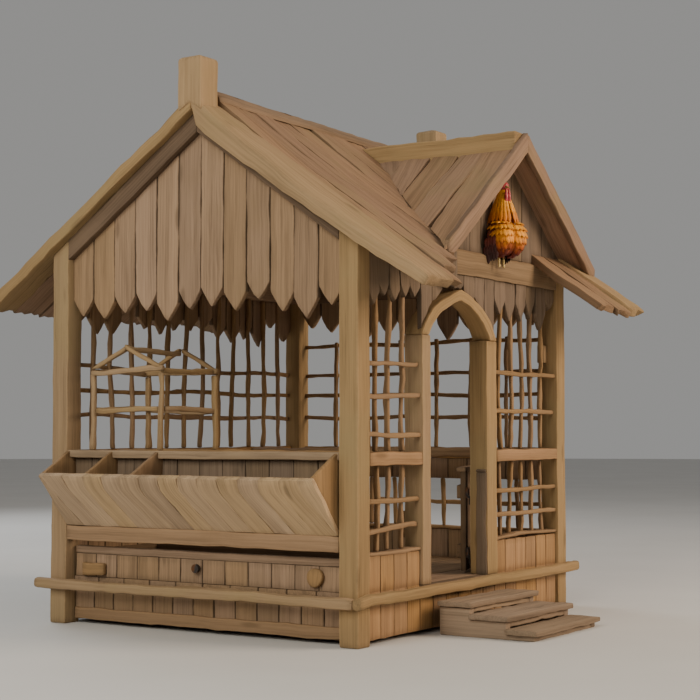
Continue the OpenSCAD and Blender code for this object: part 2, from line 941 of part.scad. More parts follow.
// A stick cage with a gabled top, standing on the trough rail and a perch
module feeder_cage() {
    s = cage_stick;
    x_ends = [cage_x, cage_x + cage_l - s];
    y_ends = [cage_y, cage_y + cage_w - s];
    mid = cage_y + cage_w / 2;
    color(pale_wood) {
        for (x = x_ends) {
            for (y = y_ends)
                box([x, y, rail_top], [x + s, y + s, cage_eave - s - seam]);
            box([x, cage_y, cage_eave - s], [x + s, cage_y + cage_w, cage_eave]);
            box([x, cage_y + s + seam, cage_floor], [x + s, cage_y + cage_w - s - seam, cage_floor + s]);
            for (side = [-1, 1])
                along_x(x, x + s)
                    polygon([[mid + side * cage_w / 2, cage_eave + seam],
                             [mid + side * (cage_w / 2 - 40), cage_eave + seam],
                             [mid + side * seam, cage_ridge - s], [mid + side * seam, cage_ridge]]);
        }
        for (y = y_ends, z = [cage_floor, cage_eave - s])
            box([cage_x + s + seam, y, z], [cage_x + cage_l - s - seam, y + s, z + s]);
        box([cage_x + s + seam, mid - s / 2, cage_ridge - s - 5],
            [cage_x + cage_l - s - seam, mid + s / 2, cage_ridge - 5]);
    }
}

module roost_perches() {
    end_y = half_y - rail_d;
    color(wood)
        for (x = perch_x)
            box([x - perch_w / 2, -end_y, rail_top - perch_w], [x + perch_w / 2, end_y, rail_top]);
}

// ---- litter tray ----

tray_rail_h = 34;
tray_board_t = 18;

module tray_front() {
    count = 12;
    pitch = 2 * tray_half / count;
    color(wood) {
        for (i = [0 : count - 1])
            box([tray_face, -tray_half + i * pitch, tray_z],
                [tray_face + tray_board_t, -tray_half + (i + 1) * pitch - 1, tray_top - tray_rail_h - seam]);
        box([tray_face, -tray_half, tray_top - tray_rail_h], [tray_face + tray_board_t, tray_half, tray_top]);
    }
}

module tray_box() {
    front = tray_face + tray_board_t;
    back = tray_face + tray_depth;
    wall_t = 15;
    half = tray_half - 20;
    wall_low = tray_z + 12;
    wall_top = tray_top - 20;
    color(dark_wood) {
        box([front, -half, tray_z], [back, half, wall_low - seam]);
        for (y = [-half, half - wall_t])
            box([front, y, wall_low], [back, y + wall_t, wall_top]);
        box([back - wall_t, -half + wall_t + seam, wall_low], [back, half - wall_t - seam, wall_top]);
    }
}

module tray_pulls() {
    color(pale_wood) {
        box([tray_face - 24, 520, 212], [tray_face, 645, 270]);
        translate([tray_face - 24, -575, 258])
            rotate([0, 90, 0])
                cylinder(r = 38, h = 24, $fn = 48);
    }
}

module tray_knob() {
    color(iron)
        translate([tray_face, 20, 268])
            rotate([0, -90, 0]) {
                cylinder(r = 9, h = 22, $fn = 48);
                translate([0, 0, 12])
                    cylinder(r = 18, h = 14, $fn = 48);
            }
}

// ---- steps ----

module step_stringers() {
    under = [for (z = tread_tops) z - tread_t];
    color(wood)
        for (x = [step_left, step_right - stringer_t])
            along_x(x, x + stringer_t)
                polygon([[step_front, 0], [step_front, under[0]],
                         [tread_fronts[0], under[0]], [tread_fronts[0], under[1]],
                         [tread_fronts[1], under[1]], [tread_fronts[1], under[2]],
                         [tread_fronts[2], under[2]], [tread_fronts[2], 0]]);
}

// Three treads, and the risers between the stringers
module step_boards() {
    nose = 15;
    riser_t = 18;
    starts = [step_front, tread_fronts[0], tread_fronts[1]];
    lows = [tread_tops[1], tread_tops[2], 0];
    color(roof_wood)
        for (i = [0 : 2]) {
            under = tread_tops[i] - tread_t;
            box([step_left - nose, tread_fronts[i] - nose, under],
                [step_right + nose, starts[i], tread_tops[i]]);
            box([step_left + stringer_t, tread_fronts[i] + seam, lows[i] + seam],
                [step_right - stringer_t, tread_fronts[i] + riser_t, under - seam]);
        }
}

post_front_left();
post_front_right();
post_back_left();
post_back_right();
centre_skid();
sills();
floor_joists();
floor_boards();
ledge_rails();
plinth_boards_front();
plinth_boards_left();
plinth_boards_rear();
dado_boards_front();
dado_boards_rear();
window_rails();
lattice_front_left();
lattice_front_right();
lattice_back();
lattice_right();
valance_front();
valance_back();
gable_boards_left();
gable_boards_right();
wall_plate_front();
wall_plate_back();
ridge_beam();
purlins();
gable_frames();
roof_planks_front();
roof_planks_back();
verge_planks();
ridge_cap();
finials();
dormer_ridge_beam();
dormer_planks();
dormer_barge_boards();
dormer_gable_boards();
rooster_body();
rooster_comb();
door_jambs();
door_arch();
door_boards();
door_ledges();
door_straps();
door_pintles();
door_button();
door_button_screw();
trough_rail();
trough_beam();
trough_front();
trough_ends();
trough_back();
feeder_cage();
roost_perches();
tray_front();
tray_box();
tray_pulls();
tray_knob();
step_stringers();
step_boards();
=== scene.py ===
# A gabled timber chicken coop with hewn boards, a dormer and a painted rooster.
# Metres, +Z up. The door side faces -Y and the trough gable faces -X.
import json
import math
import random

import bpy
import numpy as np
from mathutils import Euler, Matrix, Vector, noise


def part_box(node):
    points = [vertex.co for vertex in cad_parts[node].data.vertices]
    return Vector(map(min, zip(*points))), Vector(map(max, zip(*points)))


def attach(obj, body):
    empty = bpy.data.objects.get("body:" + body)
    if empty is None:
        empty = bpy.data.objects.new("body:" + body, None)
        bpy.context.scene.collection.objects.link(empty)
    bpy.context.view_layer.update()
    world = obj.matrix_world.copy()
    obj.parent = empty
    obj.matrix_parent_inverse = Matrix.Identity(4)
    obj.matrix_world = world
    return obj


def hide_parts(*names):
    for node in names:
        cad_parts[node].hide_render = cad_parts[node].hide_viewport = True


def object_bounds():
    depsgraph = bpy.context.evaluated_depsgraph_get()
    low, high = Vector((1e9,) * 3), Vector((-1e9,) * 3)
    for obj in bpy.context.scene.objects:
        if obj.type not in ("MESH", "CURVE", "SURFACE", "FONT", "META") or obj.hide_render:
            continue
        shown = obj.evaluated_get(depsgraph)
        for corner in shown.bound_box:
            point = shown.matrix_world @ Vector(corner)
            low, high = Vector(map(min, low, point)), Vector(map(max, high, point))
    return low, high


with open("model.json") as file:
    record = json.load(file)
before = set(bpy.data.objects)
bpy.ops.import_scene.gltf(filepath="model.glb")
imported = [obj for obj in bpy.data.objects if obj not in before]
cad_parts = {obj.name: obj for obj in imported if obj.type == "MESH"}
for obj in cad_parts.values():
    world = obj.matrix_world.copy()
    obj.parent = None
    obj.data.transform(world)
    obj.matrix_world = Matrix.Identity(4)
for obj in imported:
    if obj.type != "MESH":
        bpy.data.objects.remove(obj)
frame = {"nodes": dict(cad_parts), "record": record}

cad_low, cad_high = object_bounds()
random.seed(7)

# ---- sizes that the pieces share ----

CUT = 0.048                # distance between the cuts that let an edge wander
EDGE_ROUND = 0.003         # rounding of a sawn board's edges
TIMBER_ROUND = 0.007       # rounding of a post's or a beam's edges
SHOULDER = 0.075           # length of a board's pointed end
STICK_ROUND = 0.006        # rounding of a lattice stick's edges
LONG_RAIL = 5.0            # a board this many times longer than high is a level rail
UPRIGHT = (0.0, 0.0, 1.0)
LEVEL = (1.0, 0.0, 0.0)
MERGED = 0.00003           # points nearer to each other than this are one point
FLAT = math.radians(0.6)   # faces that meet at less than this are one face
CORNER = math.radians(25)  # edges that turn more than this are rounded
SQUARE = 0.97              # cosine above which a board's axis counts as square
ASKEW = 0.7                # cosine below which two axes are different directions

# how fine the noise is, in waves a metre
BOW_WAVE = 2.6             # of a board's bow
WANDER_WAVE = 11           # of the wander of its long edges
LUMP_WAVE = (23, 30)       # of the lumps along and around it
FACE_WAVE = (19, 21)       # of the lumps along and across its broad faces
BITE_WAVE = (27, 14)       # of the bites out of its ends
END_REACH = CUT * 0.9      # how far in from its end the bites fade out
END_THINNING = 0.12        # how much thinner a ragged end is

SIDES = ((-1, "left"), (1, "right"))

# ---- making pieces ----


def only(piece):
    """Leaves one piece selected and active"""
    bpy.ops.object.select_all(action="DESELECT")
    piece.select_set(True)
    bpy.context.view_layer.objects.active = piece


def all_of(piece, command, **settings):
    """Runs one edit-mode command on the whole of a piece"""
    only(piece)
    bpy.ops.object.mode_set(mode="EDIT")
    bpy.ops.mesh.select_all(action="SELECT")
    command(**settings)
    bpy.ops.object.mode_set(mode="OBJECT")


def finish_modifier(piece, kind, **settings):
    """Adds a modifier to a piece and applies it"""
    only(piece)
    modifier = piece.modifiers.new(kind.title(), kind)
    for setting, value in settings.items():
        setattr(modifier, setting, value)
    bpy.ops.object.modifier_apply(modifier=modifier.name)


def start_from(shape, name, **settings):
    """Starts a piece from a plain shape at the origin"""
    bpy.ops.object.select_all(action="DESELECT")
    shape(location=(0, 0, 0), **settings)
    piece = bpy.context.object
    piece.name = piece.data.name = name
    return piece


def join_all(pieces):
    """Joins pieces into the first of them"""
    bpy.ops.object.select_all(action="DESELECT")
    for piece in pieces:
        piece.select_set(True)
    bpy.context.view_layer.objects.active = pieces[0]
    bpy.ops.object.join()
    return pieces[0]


def copy_of(node, name):
    """A clean copy of one frame part, with its triangles joined into whole faces"""
    piece = bpy.data.objects.new(name, frame["nodes"][node].data.copy())
    piece.data.name = name
    piece.data.materials.clear()
    bpy.context.scene.collection.objects.link(piece)
    only(piece)
    bpy.ops.mesh.customdata_custom_splitnormals_clear()
    bpy.ops.object.mode_set(mode="EDIT")
    bpy.ops.mesh.select_all(action="SELECT")
    bpy.ops.mesh.remove_doubles(threshold=MERGED)
    bpy.ops.mesh.dissolve_limited(angle_limit=FLAT)
    bpy.ops.object.mode_set(mode="OBJECT")
    return piece


def cut_by_planes(piece, steps):
    """Cuts a piece by planes square to X, Y and Z, a step apart"""
    points = points_of(piece)
    low, high = points.min(0), points.max(0)
    only(piece)
    bpy.ops.object.mode_set(mode="EDIT")
    for axis, step in enumerate(steps):
        if not step:
            continue
        count = int((high[axis] - low[axis]) / step)
        for i in range(count):
            place = [0.0, 0.0, 0.0]
            place[axis] = low[axis] + (i + 0.5) * (high[axis] - low[axis]) / count
            normal = [0.0, 0.0, 0.0]
            normal[axis] = 1.0
            bpy.ops.mesh.select_all(action="SELECT")
            bpy.ops.mesh.bisect(plane_co=place, plane_no=normal)
    bpy.ops.object.mode_set(mode="OBJECT")


def points_of(piece):
    """The piece's points as an array"""
    flat = np.empty(len(piece.data.vertices) * 3)
    piece.data.vertices.foreach_get("co", flat)
    return flat.reshape(-1, 3)


def put_points(piece, points):
    """Moves the piece's points to the places in an array"""
    piece.data.vertices.foreach_set("co", points.ravel())
    piece.data.update()


def board_numbers(piece):
    """For each point, which separate board of the piece it belongs to"""
    mesh = piece.data
    flat = np.empty(len(mesh.edges) * 2, int)
    mesh.edges.foreach_get("vertices", flat)
    edges = flat.reshape(-1, 2)
    label = np.arange(len(mesh.vertices))
    while True:
        lowest = np.minimum(label[edges[:, 0]], label[edges[:, 1]])
        new = label.copy()
        np.minimum.at(new, edges[:, 0], lowest)
        np.minimum.at(new, edges[:, 1], lowest)
        new = new[new]
        if (new == label).all():
            return np.unique(label, return_inverse=True)[1]
        label = new


def board_axes(points, along=None):
    """Directions along, across and through a board, longest first"""
    spread = points - points.mean(0)
    axes = np.linalg.svd(spread, full_matrices=False)[2]
    snapped = []
    for axis in axes:
        nearest = np.zeros(3)
        nearest[np.abs(axis).argmax()] = 1.0
        snapped.append(nearest if abs(axis @ nearest) > SQUARE else axis)
    reach = np.ptp(points @ axes[0])
    if along is None or reach > LONG_RAIL * np.ptp(points @ np.array(along)):
        along, across = snapped[0], snapped[1]
    else:
        along = np.array(along, float)
        across = snapped[0] if abs(snapped[0] @ along) < ASKEW else snapped[1]
    across = across - (across @ along) * along
    across /= np.linalg.norm(across)
    return np.array([along, across, np.cross(along, across)])


def arch_places(points, middle):
    """Places along, across and through a ring that stands upright in X and Z"""
    out = points - middle
    radius = np.hypot(out[:, 0], out[:, 2])
    angle = np.arctan2(out[:, 0], out[:, 2])
    return np.stack([angle * radius.mean(), radius - radius.mean(), out[:, 1] - out[:, 1].mean()], 1)


def set_attribute(piece, name, kind, values):
    """Writes one value for each point of a piece"""
    attribute = piece.data.attributes.new(name, kind, "POINT")
    field = "value" if kind == "FLOAT" else "vector"
    attribute.data.foreach_set(field, np.asarray(values, np.float32).ravel())


def soft_noise(u, v, w, seed):
    """Smooth noise from -1 to 1, other noise for each seed"""
    return noise.noise(Vector((u + seed * 13.7, v + seed * 5.3, w + seed * 9.1)))


def weather(piece, seed, bow=0.003, lump=0.0012, ragged=0.0, lean=0.0, slip=0.0, ring=None,
            along=None, keep_end=0, sharpen=0.0):
    """Makes sawn boards hewn ones: each bows, wanders at its edges, leans a little
    and ends raggedly. The place of each point on its own board is kept for the grain.
    keep_end is the sign of a Z end that stays straight because it is nailed there, and
    sharpen draws up the two shoulders of the pointed end below it. ring is the middle
    of a part whose grain runs around it"""
    dice = random.Random(seed)
    points = points_of(piece)
    numbers = board_numbers(piece)
    grain = np.zeros_like(points)
    half = np.zeros_like(points)
    tone = np.zeros(len(points))
    for board in range(numbers.max() + 1):
        mine = np.nonzero(numbers == board)[0]
        own = points[mine]
        axes = np.eye(3) if ring is not None else board_axes(own, along)
        if keep_end and axes[0][2] * keep_end < 0:
            axes[:2] *= -1
        local = own @ axes.T
        middle = (local.min(0) + local.max(0)) / 2
        local = local - middle
        reach = local.max(0)
        start = dice.uniform(0, 40)
        turn = math.radians(dice.uniform(-lean, lean))
        along_slip = dice.uniform(-slip, slip)
        if ring is not None:
            grain[mine] = arch_places(own, ring)
            half[mine] = grain[mine].max(0)
        else:
            grain[mine] = local
            half[mine] = reach
        tone[mine] = dice.random()
        moved = local.copy()
        for k, (u, v, w) in enumerate(local):
            moved[k, 1] += bow * soft_noise(u * BOW_WAVE, 0, 0, start)
            moved[k, 2] += bow * soft_noise(u * BOW_WAVE, 5, 0, start + 3)
            moved[k, 1] += lump * 2 * soft_noise(u * WANDER_WAVE, math.copysign(3, v), 0, start)
            moved[k, 1] += lump * soft_noise(u * LUMP_WAVE[0], v * LUMP_WAVE[1], w * LUMP_WAVE[1],
                                             start + 1)
            moved[k, 2] += lump * soft_noise(u * FACE_WAVE[0], v * FACE_WAVE[1],
                                             math.copysign(2, w), start + 2)
            at_end = max(0.0, 1 - (reach[0] - abs(u)) / END_REACH)
            if sharpen and u < SHOULDER - reach[0]:
                moved[k, 0] += sharpen * (v / reach[1]) ** 2
            if ragged and at_end > 0 and not (keep_end and u > 0):
                bite = soft_noise(v * BITE_WAVE[0], w * BITE_WAVE[1], math.copysign(7, u), start + 4)
                moved[k, 0] += math.copysign(at_end * ragged * bite, u)
                moved[k, 2] *= 1 - END_THINNING * at_end
        if keep_end:
            moved[:, 0] += along_slip * (1 - local[:, 0] / reach[0]) / 2
            moved[:, 1] += math.tan(turn) * (moved[:, 0] - reach[0])
        else:
            moved[:, 0] += along_slip
            moved[:, 1] += math.tan(turn) * moved[:, 0]
        points[mine] = (moved + middle) @ axes
    points[:, 2] = np.maximum(points[:, 2], cad_low.z)
    set_attribute(piece, "grain", "FLOAT_VECTOR", grain)
    set_attribute(piece, "half", "FLOAT_VECTOR", half)
    set_attribute(piece, "tone", "FLOAT", tone)
    put_points(piece, points)


def body_of(node):
    """The body that a frame part moves with"""
    for body, members in frame["record"]["behaviour"]["bodies"].items():
        if node in members:
            return body


def stand_for(piece, *nodes):
    """The piece takes the place of frame parts and moves with them"""
    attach(piece, body_of(nodes[0]))
    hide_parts(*nodes)


def hew(piece, material, soften=EDGE_ROUND, steps=(CUT, CUT, CUT), rounding=2, smooth=38,
        shape=None, **weathering):
    """Makes a sawn piece weathered wood, board by board. shape is a function that
    moves the points of the finished piece, to bend it as a whole"""
    finish_modifier(piece, "BEVEL", width=soften, segments=rounding, limit_method="ANGLE",
                    angle_limit=CORNER)
    cut_by_planes(piece, steps)
    weather(piece, len(piece.name) * 31 + sum(map(ord, piece.name)), **weathering)
    if shape:
        points = points_of(piece)
        shape(points)
        put_points(piece, points)
    only(piece)
    bpy.ops.object.shade_smooth_by_angle(angle=math.radians(smooth))
    piece.data.materials.append(material)


def hewn(node, material, **finishing):
    """A frame part made as weathered wood"""
    piece = copy_of(node, node + "_hewn")
    hew(piece, material, **finishing)
    stand_for(piece, node)
    return piece


# ---- materials ----


class Finish:
    """A material that is built up from nodes"""

    def __init__(self, name, **shader_values):
        self.material = bpy.data.materials.new(name)
        self.material.use_nodes = True
        self.tree = self.material.node_tree
        self.shader = self.tree.nodes["Principled BSDF"]
        for setting, value in shader_values.items():
            socket = setting.replace("_", " ").title().replace("Ior", "IOR")
            self.shader.inputs[socket].default_value = value

    def add(self, kind, sockets=None, **settings):
        """Adds a node. A socket's value is a number, a colour, a vector or another output"""
        made = self.tree.nodes.new("ShaderNode" + kind)
        for setting, value in settings.items():
            setattr(made, setting, value)
        for socket, value in (sockets or {}).items():
            if isinstance(value, bpy.types.NodeSocket):
                self.tree.links.new(value, made.inputs[socket])
            else:
                made.inputs[socket].default_value = value
        return made

    def attribute(self, name, field="Vector"):
        """A value that the piece's points carry"""
        return self.add("Attribute", attribute_name=name).outputs[field]

    def place(self):
        """The place on the object"""
        return self.add("TexCoord").outputs["Object"]

    def level(self, vector):
        """The Z of a place"""
        return self.add("SeparateXYZ", {0: vector}).outputs["Z"]

    def maths(self, operation, first, second=0.0):
        return self.add("Math", {0: first, 1: second}, operation=operation).outputs[0]

    def stretched(self, vector, scale):
        """A place scaled along each axis, for drawn-out noise"""
        made = self.add("VectorMath", {0: vector, 1: scale}, operation="MULTIPLY")
        return made.outputs[0]

    def noise(self, vector, scale=1.0, detail=4.0, roughness=0.6, distortion=0.0):
        sockets = {"Vector": vector, "Scale": scale, "Detail": detail, "Roughness": roughness,
                   "Distortion": distortion}
        return self.add("TexNoise", sockets).outputs["Fac"]

    def between(self, value, low, high, to_low=0.0, to_high=1.0):
        """Maps a value's stretch from low to high onto another stretch"""
        sockets = {"Value": value, "From Min": low, "From Max": high, "To Min": to_low,
                   "To Max": to_high}
        return self.add("MapRange", sockets, interpolation_type="SMOOTHSTEP").outputs["Result"]

    def ramp(self, value, *stops):
        """Colours along a value, each stop a place and a colour"""
        made = self.add("ValToRGB", {"Fac": value})
        elements = made.color_ramp.elements
        while len(elements) < len(stops):
            elements.new(0.5)
        for element, (place, colour) in zip(elements, stops):
            element.position = place
            element.color = (*colour, 1.0)
        return made.outputs["Color"]

    def mixed(self, share, first, second):
        """A share of the second colour over the first"""
        made = self.add("Mix", data_type="RGBA")
        for socket, value in ((0, share), (6, first), (7, second)):
            if isinstance(value, bpy.types.NodeSocket):
                self.tree.links.new(value, made.inputs[socket])
            else:
                made.inputs[socket].default_value = value if socket == 0 else (*value, 1.0)
        return made.outputs[2]

    def wire(self, socket, value):
        """Leads an output to the shader"""
        self.tree.links.new(value, self.shader.inputs[socket])

    def bump(self, height, strength, distance):
        made = self.add("Bump", {"Height": height, "Strength": strength, "Distance": distance})
        self.wire("Normal", made.outputs["Normal"])


def shade_of(colour, amount):
    """A darker or lighter shade of a colour"""
    return tuple(channel * amount for channel in colour)


APART = (171.0, 63.0, 97.0)     # sets each board at its own place in the noise
KNOTS = 0.45               # strength of the knots
CRACKS = 0.45              # strength of the drying cracks
SPLASH = (0.06, 0.22)      # heights between which the damp fades out


def weathered_wood(name, base, stain, figure=1.0, wear=0.0, seam_shade=0.0):
    """Old timber: fibres and rings along each board, knots, drying cracks and stains.
    Every board has its own tone and its own grain. Wear pales the long edges, and a band of painted
    shade darkens them where boards stand side by side, in place of the shade in the gaps"""
    finish = Finish(name, specular_ior_level=0.22)
    dark = shade_of(base, 1 - 0.34 * figure)
    light = shade_of(base, 1 + 0.24 * figure)
    place = finish.attribute("grain")
    half = finish.attribute("half")
    tone = finish.attribute("tone", "Fac")
    apart = finish.add("VectorMath", {0: APART, "Scale": tone}, operation="SCALE").outputs[0]
    own = finish.add("VectorMath", {0: place, 1: apart}, operation="ADD").outputs[0]

    fibres = finish.noise(finish.stretched(own, (2.6, 150.0, 150.0)), detail=5.0, roughness=0.62)
    bands = finish.noise(finish.stretched(own, (1.1, 30.0, 30.0)), detail=4.0, distortion=0.5)
    broad = finish.noise(finish.stretched(own, (1.6, 8.0, 8.0)), detail=3.0, distortion=0.3)
    lines = finish.maths("ADD", finish.maths("MULTIPLY", fibres, 0.42),
                         finish.maths("ADD", finish.maths("MULTIPLY", bands, 0.36),
                                      finish.maths("MULTIPLY", broad, 0.22)))
    colour = finish.ramp(lines, (0.38, dark), (0.5, base), (0.62, light))

    # each board a little lighter, darker, warmer or greyer than the next
    warmth = finish.maths("FRACT", finish.maths("MULTIPLY", tone, 7.0))
    colour = finish.add("HueSaturation", {
        "Color": colour,
        "Hue": finish.between(warmth, 0.0, 1.0, 0.4975, 0.5025),
        "Saturation": finish.between(warmth, 0.0, 1.0, 0.93, 1.06),
        "Value": finish.between(tone, 0.0, 1.0, 0.91, 1.08)}).outputs[0]

    # stains that run over neighbouring boards
    spot = finish.place()
    stains = finish.noise(spot, scale=2.2, detail=5.0, roughness=0.6)
    colour = finish.mixed(finish.between(stains, 0.46, 0.74, 0.0, 0.7), colour, stain)

    # knots, in ovals drawn out along the board
    drawn_out = finish.stretched(own, (2.4, 10.0, 10.0))
    eyes = finish.add("TexVoronoi", {"Vector": drawn_out, "Scale": 1.0})
    knot = finish.between(eyes.outputs["Distance"], 0.05, 0.16, KNOTS, 0.0)
    colour = finish.mixed(knot, colour, shade_of(base, 0.3))

    # drying cracks
    split = finish.noise(finish.stretched(own, (2.4, 120.0, 120.0)), detail=2.0, roughness=0.5)
    crack = finish.between(split, 0.68, 0.75, 0.0, CRACKS)
    colour = finish.mixed(crack, colour, shade_of(base, 0.25))

    # distance from the board's long edges and from its ends
    sides = finish.add("VectorMath", {0: place}, operation="ABSOLUTE").outputs[0]
    inset = finish.add("VectorMath", {0: half, 1: sides}, operation="SUBTRACT").outputs[0]
    parts = finish.add("SeparateXYZ", {0: inset})
    chips = finish.noise(spot, scale=42.0, detail=3.0)
    rough_edge = finish.maths("MULTIPLY", finish.maths("SUBTRACT", chips, 0.5), 0.014)
    if wear:
        from_edge = finish.maths("ADD", parts.outputs["Y"], parts.outputs["Z"])
        worn = finish.between(finish.maths("ADD", from_edge, rough_edge), 0.0, 0.011, wear, 0.0)
        colour = finish.mixed(worn, colour, shade_of(base, 1.35))
    # painted shade: a dark band along each long edge stands in for the shade in the gap between
    # neighbouring boards
    if seam_shade:
        from_shaded_seam = finish.maths("ADD", parts.outputs["Y"], finish.maths("MULTIPLY", rough_edge, 0.3))
        gap_shade = finish.between(from_shaded_seam, 0.0005, 0.0055, seam_shade, 0.0)
        colour = finish.mixed(gap_shade, colour, shade_of(base, 0.22))
    ends = finish.maths("ADD", parts.outputs["X"],
                        finish.maths("MULTIPLY", finish.maths("SUBTRACT", fibres, 0.5), 0.06))
    colour = finish.mixed(finish.between(ends, 0.0, 0.03, 0.35, 0.0), colour, shade_of(base, 0.45))

    # damp and splashes near the ground
    wet = finish.maths("ADD", finish.level(spot), finish.maths("MULTIPLY", stains, 0.14))
    colour = finish.mixed(finish.between(wet, *SPLASH, 0.3, 0.0), colour, shade_of(base, 0.45))

    finish.wire("Base Color", colour)
    finish.wire("Roughness", finish.between(lines, 0.35, 0.65, 0.92, 0.74))
    ridges = finish.maths("ADD", finish.maths("MULTIPLY", fibres, 0.6), bands)
    hollows = finish.maths("ADD", finish.maths("MULTIPLY", crack, 1.5), knot)
    finish.bump(finish.maths("SUBTRACT", ridges, hollows), 0.5, 0.003)
    return finish.material


post_wood = weathered_wood("post_wood", (0.312, 0.204, 0.104), (0.29, 0.208, 0.098), figure=0.75,
                           wear=0.35)
board_wood = weathered_wood("board_wood", (0.29, 0.187, 0.11), (0.25, 0.165, 0.09), seam_shade=0.75)
rail_wood = weathered_wood("rail_wood", (0.27, 0.165, 0.082), (0.24, 0.15, 0.08), figure=0.8,
                           wear=0.4)
roof_wood = weathered_wood("roof_wood", (0.265, 0.163, 0.097), (0.25, 0.18, 0.085), wear=0.15,
                           seam_shade=0.5)
beam_wood = weathered_wood("beam_wood", (0.24, 0.158, 0.09), (0.19, 0.13, 0.078), figure=0.9,
                           wear=0.25)
step_wood = weathered_wood("step_wood", (0.31, 0.22, 0.145), (0.25, 0.18, 0.12), wear=0.25,
                           seam_shade=0.3)
# greyer, darker wood for the valance under the eave, the dormer gable, the trough back and the door
# stop: its darkness is painted shade on these shaded parts
grey_wood = weathered_wood("grey_wood", (0.17, 0.118, 0.076), (0.13, 0.095, 0.065), wear=0.2,
                           seam_shade=0.5)
trough_wood = weathered_wood("trough_wood", (0.42, 0.29, 0.17), (0.46, 0.32, 0.19), wear=0.15,
                             seam_shade=0.3)
# a warmer, brighter copy of board wood for the boards on the door side: painted warm light on the
# side that faces the warm lamp
door_side_wood = weathered_wood("door_side_wood", (0.36, 0.205, 0.09), (0.29, 0.175, 0.085),
                                wear=0.2, seam_shade=0.6)
# a much darker copy of the wood for parts inside and under the coop: painted shade
inner_wood = weathered_wood("inner_wood", (0.135, 0.086, 0.05), (0.17, 0.115, 0.07), wear=0.25)


def rusted_iron():
    """Forged iron, black with rust in its hollows"""
    finish = Finish("rusted_iron", metallic=0.65)
    spot = finish.place()
    broad = finish.noise(spot, scale=26.0, detail=6.0, roughness=0.65)
    fine = finish.noise(spot, scale=210.0, detail=3.0)
    rust = finish.between(broad, 0.46, 0.62)
    colour = finish.mixed(rust, (0.045, 0.04, 0.038), (0.17, 0.075, 0.03))
    colour = finish.mixed(finish.between(fine, 0.55, 0.75, 0.0, 0.5), colour, (0.09, 0.06, 0.045))
    finish.wire("Base Color", colour)
    finish.wire("Roughness", finish.between(finish.maths("ADD", rust, fine), 0.4, 1.6, 0.45, 0.85))
    finish.bump(finish.maths("ADD", broad, finish.maths("MULTIPLY", fine, 0.5)), 0.4, 0.0012)
    return finish.material


iron = rusted_iron()

# ---- camera and light ----

camera = bpy.data.objects.new("camera", bpy.data.cameras.new("camera"))
bpy.context.scene.collection.objects.link(camera)
camera.location = (-6.0976, -4.0766, 0.8411)
camera.rotation_euler = Euler((math.radians(92.902), 0.0, math.radians(-57.281)))
camera.data.lens = 81.27
camera.data.sensor_width = 36.0
camera.data.clip_end = 100.0
bpy.context.scene.camera = camera


def soft_light(name, place, aim, size, power, colour):
    """A large square lamp that points at a place"""
    lamp = bpy.data.objects.new(name, bpy.data.lights.new(name, "AREA"))
    bpy.context.scene.collection.objects.link(lamp)
    lamp.location = place
    lamp.rotation_euler = (Vector(aim) - Vector(place)).to_track_quat("-Z", "Y").to_euler()
    lamp.data.size = size
    lamp.data.energy = power
    lamp.data.color = colour


soft_light("door_side_light", (2.4, -7.5, 4.2), (0.2, 0.0, 1.1), 4.0, 640.0, (1.0, 0.81, 0.62))
soft_light("trough_side_light", (-8.0, -1.0, 4.6), (0.0, 0.0, 1.1), 5.0, 500.0, (1.0, 0.96, 0.85))
soft_light("back_light", (3.0, 7.5, 5.0), (0.0, 0.0, 1.2), 5.0, 300.0, (0.92, 0.96, 1.0))

world = bpy.data.worlds.new("studio")
world.use_nodes = True
world.node_tree.nodes["Background"].inputs["Color"].default_value = (0.82, 0.81, 0.79, 1.0)
world.node_tree.nodes["Background"].inputs["Strength"].default_value = 0.36
bpy.context.scene.world = world


def pale_floor():
    """A plain pale studio floor"""
    floor = start_from(bpy.ops.mesh.primitive_circle_add, "floor", vertices=96, radius=40.0,
                       fill_type="NGON")
    finish = Finish("pale_floor", roughness=0.85)
    mottle = finish.noise(finish.place(), scale=0.8, detail=3.0)
    finish.wire("Base Color", finish.ramp(mottle, (0.3, (0.56, 0.55, 0.53)),
                                          (0.7, (0.6, 0.59, 0.57))))
    floor.data.materials.append(finish.material)


pale_floor()

# ---- posts, base and floor ----

for post in ("post_front_left", "post_front_right", "post_back_left", "post_back_right"):
    hewn(post, post_wood, soften=TIMBER_ROUND, bow=0.003, lump=0.0016)
hewn("centre_skid", inner_wood, soften=TIMBER_ROUND, bow=0.0, lump=0.001)
hewn("sills", rail_wood)
hewn("floor_joists", inner_wood)
hewn("floor_boards", board_wood, bow=0.0015, lump=0.001)
LEDGE_DROP = 0.009         # keeps the trough side's rail clear of the tray above it
trough_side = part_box("post_front_left")[0].x


def clear_tray(points):
    """The rail on the trough side hangs a little low, so that the tray slides over it"""
    for point in points:
        if point[0] < trough_side:
            point[2] -= LEDGE_DROP


hewn("ledge_rails", post_wood, soften=0.014, steps=(0.06, 0.06, 0), bow=0.007, lump=0.003,
     shape=clear_tray)
for boards in ("plinth_boards_front", "dado_boards_front"):
    hewn(boards, door_side_wood, steps=(0.03, 0.03, CUT), bow=0.0015, ragged=0.006, along=UPRIGHT)
for boards in ("plinth_boards_left", "plinth_boards_rear", "dado_boards_rear"):
    hewn(boards, board_wood, steps=(0.035, 0.035, CUT), bow=0.0015, ragged=0.006, along=UPRIGHT)

